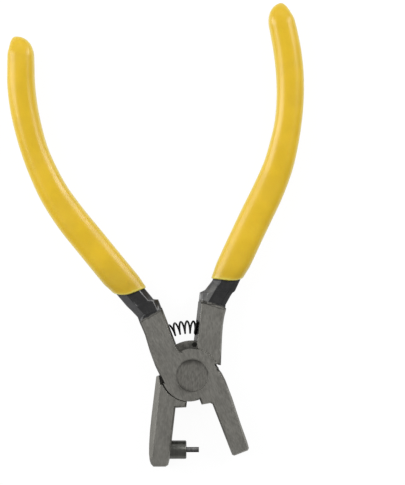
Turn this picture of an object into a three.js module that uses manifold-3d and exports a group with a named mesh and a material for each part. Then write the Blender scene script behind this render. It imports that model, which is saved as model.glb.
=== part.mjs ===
// Hole punch pliers: two forged levers crossed in a lap joint, each with a dipped handle. The lever
// at the front carries the left handle and the die jaw, and the lever at the rear carries the right
// handle and the punch jaw. A light coil spring between the shanks holds the pliers open.
//
// Millimetres, +Z up. The pliers lie on their rear face, with the pivot on the Z axis and the
// handles towards +Y. Each lever is drawn as it stands when the pliers are closed, with its jaw face
// parallel to Y, and a group then turns it about the pivot to the open position.

import * as THREE from 'three';
import { mergeVertices } from 'three/addons/utils/BufferGeometryUtils.js';
import Module from 'manifold-3d';

const wasm = await Module();
wasm.setup();

const { degToRad, lerp } = THREE.MathUtils;

// Sizes of the whole tool
const headThickness = 9.6;
const openAngle = 27.8; // degrees between the levers, at rest against closed
const lapGap = 0.12; // between the two half laps
const runningGap = 0.3; // between an edge and the wall that it turns in
const seatGap = 0.25; // between a piece and its seat
const overrun = 3; // how far a cut runs past the metal
const edgeWidth = 0.5; // bevel along every edge of the forgings, across their faces
const edgeDepth = 0.8; // and down their sides

// The lap joint
const hubRadius = 8.1;
const frontHubRadius = 8.3; // lower part of the front lap, struck off centre
const frontHubShift = { x: -0.6, y: 0.85 };
const frontHubArc = [178, 266]; // degrees
const rearHubRadius = 7.75; // lower part of the rear lap, struck off centre
const rearHubShift = { x: 0.4, y: 0.4 };
const rearHubArc = [20, -94];
const rearWebEnd = 157; // degrees, where the arc of the rear lap meets the punch jaw's horn
const hubReliefAngle = 14; // degrees, where the front lap's arc ends above the die jaw
const hubRimAngle = 3; // where the front lap's flush rim starts
const webRadius = 10.4; // upper part of the rear lap
const splitOffset = 0.9; // the shanks meet this far left of the pivot
const shankGap = 0.4;
const stopOffset = 0.58; // the stop lugs meet this far left of the pivot
const stopGap = 0.15;
const lugHeight = 1.5; // how far the stop lugs stand below the hub
const lapInset = 0.05; // how far the flush rims of the laps lie inside their outlines

// The shanks, between the hub and the handles
const shankHeight = 22.2; // top of the ground faces above the pivot
const frontShankWidth = 7.9;
const rearShankWidth = 8.4;
const shoulderHeight = 4.1; // foot of the rear lever's shank above the pivot
const shankBevelWidth = 1.1;
const shankBevelDepth = 4.6;

// The jaws
const jawLength = 28.35; // pivot to the tip of the punch jaw, the longer one
const dieJawSetback = 1.5; // how much shorter the die jaw is
const dieJawWidth = 5.8;
const dieJawFace = 2.55; // from the pivot to the face that carries the die hole
const punchJawWidth = 6.85;
const punchJawFace = 3.85; // from the pivot to the face that carries the punch
const punchJawTop = 1.56; // how far below the pivot its outer side ends
const hornTop = 0.96; // how far below the pivot the horn beside the hub starts
const hornFoot = 3.69; // and ends
const jawBevelWidth = 1.55;
const jawBevelDepth = 1.3;
const jawTipBreak = 0.5;

// The pivot rivet
const rivetHeadRadius = 4.7;
const rivetHeadDepth = 2.2;
const rivetStemRadius = 3;
const rivetHeadChamfer = 0.3;
const rivetGap = 0.08;

// The handles and their dipped grips
const handleLength = 114; // pivot to grip tip
const handleBow = 19.8; // how far the handle's line swings out
const handleDrift = 0.9; // how far the pair leans to the right at the tips
const gripWidth = 9.6;
const gripThickness = 9.2;
const gripWall = 0.95;
const gripCorners = { left: { across: 3.1, up: 3.1 }, right: { across: 3.1, up: 3.1 } };
const gripDome = 6.2; // length of the rounded tip
const domeEnd = 0.35; // share of a step that the dome stops short of its pole
const leftTipLean = 0.65; // how far the left grip's tip leans out
const dipLine = 29.5; // height of the dip's edge above the pivot
const dipTurn = 10; // from the pivot, where that edge starts to rise
const dipSlope = 0.62;
const lipInset = 0.35; // how much the grip thins towards the dip's edge
const lipLength = 5;
const tangCorners = { left: { across: 2.4, up: 1.7 }, right: { across: 1.5, up: 1.5 } };
const neckInset = 0.35; // how far the black neck lies below the ground faces
const neckSide = 0.12; // and how far inside their edges
const neckShoulder = 2.7; // height of the neck's shoulder above the ground faces
const leftNeckRamp = 0.6; // height of the slope that the left shoulder ends in
const leftNeckStep = 1.3; // how far that shoulder steps back
const rightNeckRamp = 1;
const rightNeckStep = 1.5;
const neckFlare = 1.1; // how far the neck's outer edge runs out by the shoulder

// The punch, its screwed-in holder and the screw that backs it
const punchRadius = 0.75;
const punchReach = 2; // how far the punch enters the die
const punchSetback = 6.2; // from the tip of the punch jaw to the punch's line
const holderRadius = 2.7;
const holderChamfer = 0.35;
const workGap = 1.75; // between the holder and the die when closed
const holderTailRadius = 2;
const holderTailLength = 2.5;
const holderSpotDepth = 0.4;
const boreGap = 0.15;
const punchHeadRadius = 1.6;
const punchHeadLength = 1.1;
const backScrewRadius = 2;
const backScrewLength = 1.9;
const backScrewSlotWidth = 0.6;
const backScrewSlotDepth = 0.7;

// The die hole
const dieClearance = 0.2;
const dieLand = 2.8;
const slugRadius = 1.35;

// The return spring
const springWire = 0.5;
const springRadius = 1.78; // to the middle of the wire
const springTilt = 8; // degrees that the spring rises towards the rear lever
const frontSeatHeight = 14.8;
const rearSeatHeight = 14.4;
const rearSeatLevel = 6.2; // height of its blind hole above the rear face
const springSeatDepth = 3.1;
const seatCurls = 2; // in each blind hole
const openCurls = 4.75; // between the shanks

// The handles' lines, as shares of handleLength, handleBow and handleDrift, with the grip's width at
// each place as a share of gripWidth
const handleShares = [
  { along: 0.243, bow: 0.341, drift: -0.5, width: 0.98 },
  { along: 0.276, bow: 0.404, drift: -0.52, width: 0.99 },
  { along: 0.32, bow: 0.489, drift: -0.55, width: 1 },
  { along: 0.377, bow: 0.597, drift: -0.53, width: 1 },
  { along: 0.437, bow: 0.712, drift: -0.45, width: 1 },
  { along: 0.5, bow: 0.833, drift: -0.3, width: 0.985 },
  { along: 0.57, bow: 0.937, drift: -0.1, width: 0.932 },
  { along: 0.632, bow: 0.983, drift: 0.06, width: 0.885 },
  { along: 0.693, bow: 1, drift: 0.24, width: 0.845 },
  { along: 0.754, bow: 0.98, drift: 0.42, width: 0.85 },
  { along: 0.816, bow: 0.929, drift: 0.55, width: 0.865 },
  { along: 0.873, bow: 0.85, drift: 0.68, width: 0.865 },
  { along: 0.921, bow: 0.757, drift: 0.87, width: 0.85 },
  { along: 0.965, bow: 0.672, drift: 0.95, width: 0.823 },
  { along: 1, bow: 0.66, drift: 1, width: 0.823 },
];

// Outer edges of the shanks, as shares of each shank's width and of shankHeight
const frontShankShares = [
  { across: 0.98, up: 0.94 },
  { across: 0.965, up: 0.74 },
  { across: 1.02, up: 0.51 },
  { across: 1.03, up: 0.31 },
  { across: 1, up: 0.165 },
];
const rearShankShares = [
  { across: 1.02, up: 0.95 },
  { across: 0.98, up: 0.83 },
  { across: 0.97, up: 0.72 },
  { across: 0.985, up: 0.58 },
  { across: 1.01, up: 0.44 },
];
const frontShankFoot = frontShankShares.at(-1);
const rearShoulderShare = 1.06;
const shankTopShare = 0.8;

// Outer edges of the jaws, as shares of each jaw's width and length
const dieJawShares = [
  { across: 0.96, down: 0.92 },
  { across: 0.99, down: 0.68 },
  { across: 1.06, down: 0.41 },
  { across: 1.07, down: 0.19 },
  { across: 1.03, down: 0.1 },
  { across: 0.96, down: 0.035 },
];
const punchJawShares = [
  { across: 0.67, down: 1 },
  { across: 0.79, down: 0.975 },
  { across: 0.865, down: 0.935 },
  { across: 0.925, down: 0.87 },
  { across: 0.97, down: 0.76 },
  { across: 1, down: 0.62 },
  { across: 1.005, down: 0.45 },
];
const punchTopShare = 0.99;
const dieTipShare = 0.93;
const punchTipShares = { face: 0.9, heel: 0.965, toe: 0.985 };
const hubReliefShares = { across: 0.975, up: 0.045 };

// Values that several pieces share
const halfThickness = headThickness / 2;
const halfOpen = degToRad(openAngle / 2);
const hubRelief = degToRad(hubReliefAngle);
const hubRimStart = degToRad(hubRimAngle);
const frontInnerEdge = -splitOffset - shankGap / 2;
const rearInnerEdge = -splitOffset + shankGap / 2;
const frontStopEdge = -stopOffset + stopGap / 2;
const rearStopEdge = -stopOffset - stopGap / 2;
const shankWallRadius = hubRadius + runningGap;
const shankLapRadius = webRadius + runningGap;
const dieJawLength = jawLength - dieJawSetback;
const punchDistance = jawLength - punchSetback;
const punchAngle = Math.atan2(dieJawFace, punchDistance);
const arcSteps = 14;
const roundSides = 40;
const smallSides = 20;
const gripSteps = { along: 22, dome: 5, corner: 4 };
const tangSteps = { along: 16, dome: 3, corner: 1 };
const springSteps = 8; // to a curl
const springSides = 5;

const steel = new THREE.MeshStandardMaterial({ color: 0x75736b, roughness: 0.48, metalness: 1 });
const darkSteel = new THREE.MeshStandardMaterial({ color: 0x44443f, roughness: 0.35, metalness: 1 });
const pinSteel = new THREE.MeshStandardMaterial({ color: 0x8d8d88, roughness: 0.25, metalness: 1 });
const springSteel = new THREE.MeshStandardMaterial({ color: 0x1c1c1a, roughness: 0.4, metalness: 1 });
const yellowVinyl = new THREE.MeshStandardMaterial({ color: 0xe0b93a, roughness: 0.4, metalness: 0 });

// Solids and meshes

function solidOf(geometry) {
  const bare = geometry.clone();
  bare.deleteAttribute('normal');
  bare.deleteAttribute('uv');
  const merged = mergeVertices(bare);
  return new wasm.Manifold(new wasm.Mesh({
    numProp: 3,
    vertProperties: Float32Array.from(merged.attributes.position.array),
    triVerts: Uint32Array.from(merged.index.array),
  }));
}

function meshOf(name, solid, material) {
  const { vertProperties, triVerts } = solid.getMesh();
  const geometry = new THREE.BufferGeometry();
  geometry.setAttribute('position', new THREE.BufferAttribute(vertProperties, 3));
  geometry.setIndex(new THREE.BufferAttribute(triVerts, 1));
  geometry.computeVertexNormals();
  const mesh = new THREE.Mesh(geometry, material);
  mesh.name = name;
  return mesh;
}

// A plate cut to a shape between two heights, with a bevel round its front and rear edges.
function plate(shape, bottom, top, bevelWidth = 0, bevelDepth = 0) {
  const geometry = new THREE.ExtrudeGeometry(shape, {
    depth: top - bottom - 2 * bevelDepth,
    curveSegments: arcSteps,
    bevelEnabled: bevelWidth > 0,
    bevelThickness: bevelDepth,
    bevelSize: bevelWidth,
    bevelOffset: -bevelWidth,
    bevelSegments: 1,
  });
  geometry.translate(0, 0, bottom + bevelDepth);
  return solidOf(geometry);
}

// A turned piece along +Y from its profile of [radius, height] pairs, which starts and ends on the axis.
function turned(profile, sides) {
  const points = profile.map(([radius, height]) => new THREE.Vector2(radius, height));
  return new THREE.LatheGeometry(points, sides);
}

// A round bar or hole along +Y.
function round(radius, from, to, sides) {
  return turned([[0, from], [radius, from], [radius, to], [0, to]], sides);
}

// A turned piece stood upright on the pivot.
function upright(geometry) {
  return solidOf(geometry.rotateX(Math.PI / 2));
}

// A turned piece laid along the punch's line. Zero is where that line meets the die's face, and
// positive runs into the die.
function alongPunch(geometry) {
  geometry.rotateZ(punchAngle - Math.PI / 2);
  geometry.translate(dieJawFace, -punchDistance, halfThickness);
  return solidOf(geometry);
}

// A long wedge along Y that planes a bevel of a given width and depth off the front and rear edges
// of a side. The metal lies towards `inward`, which is 1 or -1 along X.
function bevelWedges(side, inward, width, depth, low, high) {
  const slope = depth / width;
  const wedge = new THREE.Shape();
  wedge.moveTo(-overrun, -depth - overrun * slope);
  wedge.lineTo(width + overrun, overrun * slope);
  wedge.lineTo(-overrun, overrun * slope);
  const cut = new THREE.ExtrudeGeometry(wedge, { depth: high - low, bevelEnabled: false });
  cut.rotateX(Math.PI / 2);
  cut.translate(0, high, 0);
  const rear = cut.clone();
  rear.scale(inward, 1, -1);
  rear.translate(side, 0, 0);
  cut.scale(inward, 1, 1);
  cut.translate(side, 0, headThickness);
  if (inward > 0) flip(rear);
  else flip(cut);
  return solidOf(cut).add(solidOf(rear));
}

// Turns every face round, after a mirror has turned them inside out.
function flip(geometry) {
  const { array } = geometry.attributes.position;
  for (let i = 0; i < array.length; i += 9) {
    for (let k = 0; k < 3; k += 1) {
      [array[i + 3 + k], array[i + 6 + k]] = [array[i + 6 + k], array[i + 3 + k]];
    }
  }
}

// A closed skin through rings that all have the same number of points.
function skin(rings) {
  const count = rings[0].length;
  const points = rings.flat();
  const last = (rings.length - 1) * count;
  const faces = [];
  for (let i = 0; i < rings.length - 1; i += 1) {
    for (let k = 0; k < count; k += 1) {
      const a = i * count + k;
      const b = i * count + ((k + 1) % count);
      faces.push(a, b, b + count, a, b + count, a + count);
    }
  }
  for (let k = 1; k < count - 1; k += 1) {
    faces.push(0, k + 1, k);
    faces.push(last, last + k, last + k + 1);
  }
  const geometry = new THREE.BufferGeometry();
  const places = points.flatMap(({ x, y, z }) => [x, y, z]);
  geometry.setAttribute('position', new THREE.Float32BufferAttribute(places, 3));
  geometry.setIndex(faces);
  return solidOf(geometry);
}

// The lap joint

const arcPoint = (centre, radius, angle) => ({
  x: centre.x + radius * Math.cos(angle),
  y: centre.y + radius * Math.sin(angle),
});

const turnedAbout = (point, angle) => ({
  x: point.x * Math.cos(angle) - point.y * Math.sin(angle),
  y: point.x * Math.sin(angle) + point.y * Math.cos(angle),
});

// Where a circle about the pivot, of a given radius, crosses the line x = side. `up` is 1 or -1.
const crossing = (radius, side, up) => Math.atan2(up * Math.sqrt(radius * radius - side * side), side);

const pivot = { x: 0, y: 0 };
const lugFoot = -hubRadius - lugHeight;
const front = [halfThickness, headThickness];
const rear = [0, halfThickness];

const arc = (shape, centre, radius, from, to) => (
  shape.absarc(centre.x, centre.y, radius, from, to, to < from)
);

// The sector of a lap that is ground flush to its rim, which keeps the bevel off it.
function lapRim(centre, radius, from, to, bottom, top) {
  const shape = new THREE.Shape();
  shape.moveTo(centre.x, centre.y);
  arc(shape, centre, radius - lapInset, from, to);
  return plate(shape, bottom, top);
}

// The bore and the head's recess that a lever has for the rivet, from its own outer face.
function rivetCut(headTop, headBottom) {
  const stem = upright(round(rivetStemRadius + rivetGap, -overrun, headThickness + overrun, roundSides));
  const head = upright(round(rivetHeadRadius + rivetGap, headBottom, headTop, roundSides));
  return stem.add(head);
}

function pivotRivet() {
  const seat = headThickness - rivetHeadDepth;
  const faceRadius = rivetHeadRadius - rivetHeadChamfer;
  const rivet = turned([
    [0, 0],
    [faceRadius, 0],
    [rivetHeadRadius, rivetHeadChamfer],
    [rivetHeadRadius, rivetHeadDepth],
    [rivetStemRadius, rivetHeadDepth],
    [rivetStemRadius, seat],
    [rivetHeadRadius, seat],
    [rivetHeadRadius, headThickness - rivetHeadChamfer],
    [faceRadius, headThickness],
    [0, headThickness],
  ], roundSides);
  return meshOf('pivot_rivet', upright(rivet), steel);
}

// The handles

// A handle's line. `side` is -1 for the left handle and 1 for the right one.
function handleCurve(side) {
  const points = handleShares.map(({ along, bow, drift }) => (
    new THREE.Vector3(side * handleBow * bow + handleDrift * drift, handleLength * along, halfThickness)
  ));
  return new THREE.CatmullRomCurve3(points, false, 'centripetal');
}

// The grip's width at a share of the handle curve, between the stations.
function gripWidthAt(share) {
  const place = share * (handleShares.length - 1);
  const i = Math.min(Math.floor(place), handleShares.length - 2);
  return gripWidth * lerp(handleShares[i].width, handleShares[i + 1].width, place - i);
}

// A ring square to a direction in the XY plane: a rectangle whose corners, of given sizes on its left
// and its right, are rounded in `steps` steps or cut straight in one.
function ring(centre, direction, halfWidth, halfDepth, corners, steps, shrink = 1) {
  const across = new THREE.Vector3(-direction.y, direction.x, 0).normalize();
  const points = [];
  const quarters = [[1, 1, 0], [-1, 1, 1], [-1, -1, 2], [1, -1, 3]];
  for (const [sx, sz, quarter] of quarters) {
    const corner = sx > 0 ? corners.left : corners.right;
    const width = Math.min(corner.across * shrink, halfWidth);
    const depth = Math.min(corner.up * shrink, halfDepth);
    for (let k = 0; k <= steps; k += 1) {
      const angle = (Math.PI / 2) * (quarter + k / steps);
      const u = sx * (halfWidth - width) + width * Math.cos(angle);
      const v = sz * (halfDepth - depth) + depth * Math.sin(angle);
      points.push(new THREE.Vector3(centre.x + across.x * u, centre.y + across.y * u, centre.z + v));
    }
  }
  return points;
}

// Rings along the handle, `inset` inside the grip's surface, closing over the tip in a dome. `lip` is
// what the first stretch is thinned by, and `lead` is how far before the handle the rings begin.
function handleRings(side, inset, lip, corners, steps, lead = 0) {
  const curve = handleCurve(side);
  const lean = side < 0 ? -leftTipLean : 0;
  const length = curve.getLength();
  const domeStart = 1 - gripDome / length;
  const ringAt = (share, shrink, back = 0) => {
    const thinned = inset + lip * Math.max(0, 1 - (share * length) / lipLength);
    const halfWidth = (gripWidthAt(curve.getUtoTmapping(share)) / 2 - thinned) * shrink;
    const halfDepth = (gripThickness / 2 - thinned) * shrink;
    const direction = curve.getTangentAt(share);
    const centre = curve.getPointAt(share).addScaledVector(direction, -back);
    centre.x += lean * (1 - shrink);
    return ring(centre, direction, halfWidth, halfDepth, corners, steps.corner, shrink);
  };
  const rings = lead > 0 ? [ringAt(0, 1, lead)] : [];
  for (let i = 0; i <= steps.along; i += 1) rings.push(ringAt((domeStart * i) / steps.along, 1));
  for (let i = 1; i <= steps.dome; i += 1) {
    const angle = (Math.PI / 2) * (i / (steps.dome + domeEnd));
    rings.push(ringAt(domeStart + ((gripDome - inset) * Math.sin(angle)) / length, Math.cos(angle)));
  }
  return rings;
}

// The forged tang: the black neck that rises from the shank, with its shoulder on the inner side,
// and the bar that the grip covers.
function tang(side, innerEdge, shankWidth, neckRamp, neckStep) {
  const inner = innerEdge + side * neckSide;
  const outer = innerEdge + side * (shankWidth - neckSide);
  const rampTop = shankHeight + neckShoulder + neckRamp;
  const shoulder = outer + side * neckFlare;
  const neck = [
    { inner, outer, y: shankHeight - neckShoulder },
    { inner, outer, y: shankHeight },
    { inner, outer: shoulder, y: shankHeight + neckShoulder },
    { inner: inner + side * neckStep, outer: shoulder + side * neckRamp / 2, y: rampTop },
  ];
  const halfDepth = halfThickness - neckInset;
  const up = new THREE.Vector3(0, 1, 0);
  const rings = neck.map((place) => {
    const centre = new THREE.Vector3((place.inner + place.outer) / 2, place.y, halfThickness);
    const halfWidth = Math.abs(place.outer - place.inner) / 2;
    return ring(centre, up, halfWidth, halfDepth, tangCorners, tangSteps.corner);
  });
  return skin([...rings, ...handleRings(side, gripWall, 0, tangCorners, tangSteps)]);
}

// The dipped sleeve on a handle: its outside less the tang's room, cut off at the dip's edge.
function grip(name, side) {
  const outside = skin(handleRings(side, 0, lipInset, gripCorners, gripSteps));
  const room = skin(handleRings(side, gripWall - seatGap, 0, tangCorners, tangSteps, overrun));
  const reach = handleBow + gripWidth;
  const below = new THREE.Shape();
  below.moveTo(-side * gripWidth, 0);
  below.lineTo(side * reach, 0);
  below.lineTo(side * reach, dipLine + dipSlope * (reach - dipTurn));
  below.lineTo(side * dipTurn, dipLine);
  below.lineTo(-side * gripWidth, dipLine);
  const cut = plate(below, -overrun, headThickness + overrun);
  return meshOf(name, outside.subtract(room).subtract(cut), yellowVinyl);
}

// The front lever: left shank, front half of the lap, die jaw


function frontOutline() {
  const shape = new THREE.Shape();
  const shankX = (share) => frontInnerEdge - frontShankWidth * share;
  const jawX = (share) => dieJawFace + dieJawWidth * share;
  shape.moveTo(frontInnerEdge, shankHeight);
  shape.lineTo(shankX(shankTopShare), shankHeight);
  for (const { across, up } of frontShankShares) shape.lineTo(shankX(across), shankHeight * up);
  arc(shape, frontHubShift, frontHubRadius, ...frontHubArc.map(degToRad));
  shape.lineTo(frontStopEdge, frontHubShift.y - frontHubRadius);
  shape.lineTo(frontStopEdge, lugFoot + edgeWidth);
  shape.lineTo(dieJawFace - edgeWidth, lugFoot);
  shape.lineTo(dieJawFace, lugFoot - edgeWidth);
  shape.lineTo(dieJawFace, -dieJawLength + jawTipBreak);
  shape.lineTo(dieJawFace + jawTipBreak, -dieJawLength);
  shape.lineTo(jawX(dieTipShare) - jawTipBreak, -dieJawLength);
  shape.lineTo(jawX(dieTipShare), -dieJawLength + jawTipBreak);
  for (const { across, down } of dieJawShares) shape.lineTo(jawX(across), -dieJawLength * down);
  shape.lineTo(hubRadius * hubReliefShares.across, hubRadius * hubReliefShares.up);
  shape.absarc(0, 0, hubRadius, hubRelief, crossing(hubRadius, frontInnerEdge / 2, 1), false);
  shape.quadraticCurveTo(frontInnerEdge, hubRadius, frontInnerEdge, webRadius);
  shape.closePath();
  return shape;
}

// What is milled from the rear half of the front lever, to let the rear lap in.
function frontPocket() {
  const shape = new THREE.Shape();
  const wallRadius = rearHubRadius + Math.hypot(rearHubShift.x, rearHubShift.y) + runningGap;
  const start = crossing(shankLapRadius, -frontInnerEdge, 1);
  const left = -shankLapRadius - overrun;
  const right = dieJawFace + dieJawWidth + overrun;
  const lugTop = arcPoint(pivot, wallRadius, crossing(wallRadius, frontStopEdge, -1));
  shape.absarc(0, 0, shankLapRadius, start, Math.PI, false);
  shape.lineTo(left, 0);
  shape.lineTo(left, lugTop.y);
  shape.lineTo(lugTop.x, lugTop.y);
  shape.absarc(0, 0, wallRadius, crossing(wallRadius, frontStopEdge, -1), hubRelief, false);
  shape.lineTo(right, wallRadius * Math.sin(hubRelief));
  shape.lineTo(right, arcPoint(pivot, shankLapRadius, start).y);
  shape.closePath();
  return plate(shape, -overrun, halfThickness + lapGap / 2);
}

function frontLever() {
  const seat = round(springRadius + springWire / 2 + seatGap, 0, springSeatDepth + overrun, smallSides);
  seat.rotateZ(-Math.PI / 2);
  seat.translate(frontInnerEdge - springSeatDepth, frontSeatHeight, springLevel(0));
  const dieHole = round(punchRadius + dieClearance, -overrun, dieLand + seatGap, smallSides);
  const slugHole = round(slugRadius, dieLand, dieJawWidth + 2 * overrun, smallSides);
  const solid = plate(frontOutline(), 0, headThickness, edgeWidth, edgeDepth)
    .add(tang(-1, frontInnerEdge, frontShankWidth, leftNeckRamp, leftNeckStep))
    .add(lapRim(pivot, hubRadius, hubRimStart, crossing(hubRadius, frontInnerEdge / 2, 1), ...front))
    .add(lapRim(frontHubShift, frontHubRadius, ...frontHubArc.map(degToRad), ...front))
    .subtract(frontPocket())
    .subtract(rivetCut(headThickness + overrun, headThickness - rivetHeadDepth - rivetGap))
    .subtract(solidOf(seat))
    .subtract(alongPunch(dieHole))
    .subtract(alongPunch(slugHole));
  return meshOf('front_lever', solid, steel);
}

// The rear lever: right shank, rear half of the lap, punch jaw

const hornRadius = Math.hypot(frontInnerEdge - frontShankWidth, shankHeight * frontShankFoot.up) + stopGap;

function rearOutline() {
  const shape = new THREE.Shape();
  const shankX = (share) => rearInnerEdge + rearShankWidth * share;
  const jawX = (share) => -punchJawFace - punchJawWidth * share;
  const toe = -jawLength * punchTipShares.toe;
  const heel = -jawLength * punchTipShares.heel;
  shape.moveTo(rearInnerEdge, shankHeight);
  shape.lineTo(shankX(shankTopShare), shankHeight);
  for (const { across, up } of rearShankShares) shape.lineTo(shankX(across), shankHeight * up);
  shape.lineTo(shankX(rearShoulderShare), shoulderHeight);
  shape.lineTo(Math.sqrt(hubRadius ** 2 - shoulderHeight ** 2) - runningGap, shoulderHeight);
  arc(shape, rearHubShift, rearHubRadius, ...rearHubArc.map(degToRad));
  shape.lineTo(rearStopEdge, rearHubShift.y - rearHubRadius);
  shape.lineTo(rearStopEdge, lugFoot);
  shape.lineTo(-punchJawFace, lugFoot - edgeWidth);
  shape.lineTo(-punchJawFace, -jawLength * punchTipShares.face);
  shape.lineTo(-punchJawFace - jawTipBreak / 2, heel);
  shape.lineTo(-punchJawFace - 2 * jawTipBreak, toe);
  for (const { across, down } of punchJawShares) shape.lineTo(jawX(across), -jawLength * down);
  shape.lineTo(jawX(punchTopShare), -punchJawTop);
  shape.lineTo(-hornRadius + edgeWidth, -hornTop);
  shape.absarc(0, 0, webRadius, degToRad(rearWebEnd), crossing(webRadius, rearInnerEdge, 1), true);
  return shape;
}

// What is milled from the front half of the rear lever, to let the front lap in.
function rearPocket() {
  const shape = new THREE.Shape();
  const wall = turnedAbout(frontHubShift, 2 * halfOpen);
  const wallRadius = frontHubRadius + runningGap;
  const right = rearInnerEdge + rearShankWidth * rearShoulderShare + overrun;
  const left = -hornRadius - overrun;
  const reliefX = -rearInnerEdge / 2;
  const notchAngle = Math.PI + Math.asin(hornFoot / hornRadius);
  const wallStart = Math.PI + Math.asin((wall.y + hornFoot) / wallRadius);
  const wallEnd = 2 * Math.PI - Math.acos((rearStopEdge - wall.x) / wallRadius);
  const lugTop = arcPoint(wall, wallRadius, wallEnd);
  const lowWall = Math.asin(shoulderHeight / shankWallRadius);
  shape.absarc(0, 0, shankWallRadius, lowWall, crossing(shankWallRadius, -rearInnerEdge, 1), false);
  shape.lineTo(reliefX, webRadius + lapGap);
  shape.lineTo(left, webRadius + lapGap);
  shape.lineTo(left, -hornTop);
  shape.absarc(0, 0, hornRadius, Math.PI + Math.asin(hornTop / hornRadius), notchAngle, false);
  shape.absarc(wall.x, wall.y, wallRadius, wallStart, wallEnd, false);
  shape.lineTo(right, lugTop.y);
  shape.lineTo(right, shoulderHeight);
  shape.closePath();
  return plate(shape, halfThickness - lapGap / 2, headThickness + overrun);
}

function rearLever() {
  const seat = round(springRadius + springWire / 2 + seatGap, 0, springSeatDepth + overrun, smallSides);
  seat.rotateZ(Math.PI / 2);
  seat.translate(rearInnerEdge + springSeatDepth, rearSeatHeight, springLevel(1));
  const boreDepth = punchJawFace + 2 * punchJawWidth + dieJawFace;
  const bore = round(holderTailRadius + boreGap, -boreDepth, 0, smallSides);
  const spotFace = round(holderRadius + seatGap, holderSeat - seatGap, 0, roundSides);
  const shankBevel = bevelWedges(
    rearInnerEdge, 1, shankBevelWidth, shankBevelDepth, webRadius, shankHeight + neckShoulder,
  );
  const jawBevel = bevelWedges(
    -punchJawFace - punchJawWidth, 1, jawBevelWidth, jawBevelDepth, -jawLength * punchTipShares.face, 0,
  );
  const solid = plate(rearOutline(), 0, headThickness, edgeWidth, edgeDepth)
    .add(tang(1, rearInnerEdge, rearShankWidth, rightNeckRamp, rightNeckStep))
    .add(lapRim(pivot, webRadius, degToRad(rearWebEnd), crossing(webRadius, rearInnerEdge, 1), ...rear))
    .add(lapRim(rearHubShift, rearHubRadius, ...rearHubArc.map(degToRad), ...rear))
    .subtract(shankBevel)
    .subtract(jawBevel)
    .subtract(rearPocket())
    .subtract(rivetCut(rivetHeadDepth + rivetGap, -overrun))
    .subtract(solidOf(seat))
    .subtract(alongPunch(bore))
    .subtract(alongPunch(spotFace));
  return meshOf('rear_lever', solid, steel);
}

// The punch and what holds it, by their places along the punch's line

const holderEnd = -workGap;
const holderSeat = (-punchJawFace - dieJawFace) / Math.cos(punchAngle) - holderSpotDepth;
const tailEnd = holderSeat - holderTailLength;
const punchHeadEnd = tailEnd - seatGap - punchHeadLength;
const backScrewFront = punchHeadEnd - seatGap;
const backScrewEnd = backScrewFront - backScrewLength;

// The holder: a collar that the punch slides through, on a tail that screws into the jaw.
function punchHolder() {
  const hole = punchRadius + boreGap;
  const holder = turned([
    [hole, tailEnd],
    [holderTailRadius, tailEnd],
    [holderTailRadius, holderSeat],
    [holderRadius, holderSeat],
    [holderRadius, holderEnd - holderChamfer],
    [holderRadius - holderChamfer, holderEnd],
    [hole, holderEnd],
    [hole, tailEnd],
  ], roundSides);
  return meshOf('punch_holder', alongPunch(holder), darkSteel);
}

// The punch: a hardened pin with a head that the holder's tail stops.
function punchPin() {
  const pin = turned([
    [0, punchHeadEnd],
    [punchHeadRadius, punchHeadEnd],
    [punchHeadRadius, punchHeadEnd + punchHeadLength],
    [punchRadius, punchHeadEnd + punchHeadLength],
    [punchRadius, punchReach],
    [0, punchReach],
  ], smallSides);
  return meshOf('punch_pin', alongPunch(pin), pinSteel);
}

// The slotted grub screw that takes the thrust of the punch.
function backScrew() {
  const screw = alongPunch(round(backScrewRadius, backScrewEnd, backScrewFront, smallSides));
  const slot = new THREE.BoxGeometry(3 * backScrewRadius, 2 * backScrewSlotDepth, backScrewSlotWidth);
  slot.translate(0, backScrewEnd, 0);
  return meshOf('punch_back_screw', screw.subtract(alongPunch(slot)), darkSteel);
}

// The return spring, one wire wound round a line that leaves each seat square to its shank

// A place in a seat, `depth` from the shank's edge, with the pliers open.
const inFrontSeat = (depth) => turnedAbout({ x: frontInnerEdge - depth, y: frontSeatHeight }, halfOpen);
const inRearSeat = (depth) => turnedAbout({ x: rearInnerEdge + depth, y: rearSeatHeight }, -halfOpen);
const springInset = springSeatDepth - seatGap - springWire;

// The height of the spring's line half way down the front seat, at 0, and the rear one, at 1.
function springLevel(share) {
  const from = inFrontSeat(springInset / 2);
  const to = inRearSeat(springInset / 2);
  const run = Math.hypot(to.x - from.x, to.y - from.y);
  return rearSeatLevel - (1 - share) * run * Math.tan(degToRad(springTilt));
}

// The line: straight in each seat and a curve between the two mouths.
function springLine() {
  const flat = ({ x, y }) => new THREE.Vector3(x, y, 0);
  const ends = [flat(inFrontSeat(springInset)), flat(inRearSeat(springInset))];
  const mouths = [flat(inFrontSeat(0)), flat(inRearSeat(0))];
  const pull = mouths[0].distanceTo(mouths[1]) / 3;
  const line = new THREE.CurvePath();
  line.add(new THREE.LineCurve3(ends[0], mouths[0]));
  const pulled = [flat(inFrontSeat(-pull)), flat(inRearSeat(-pull))];
  line.add(new THREE.CubicBezierCurve3(mouths[0], ...pulled, mouths[1]));
  line.add(new THREE.LineCurve3(mouths[1], ends[1]));
  return line;
}

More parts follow.
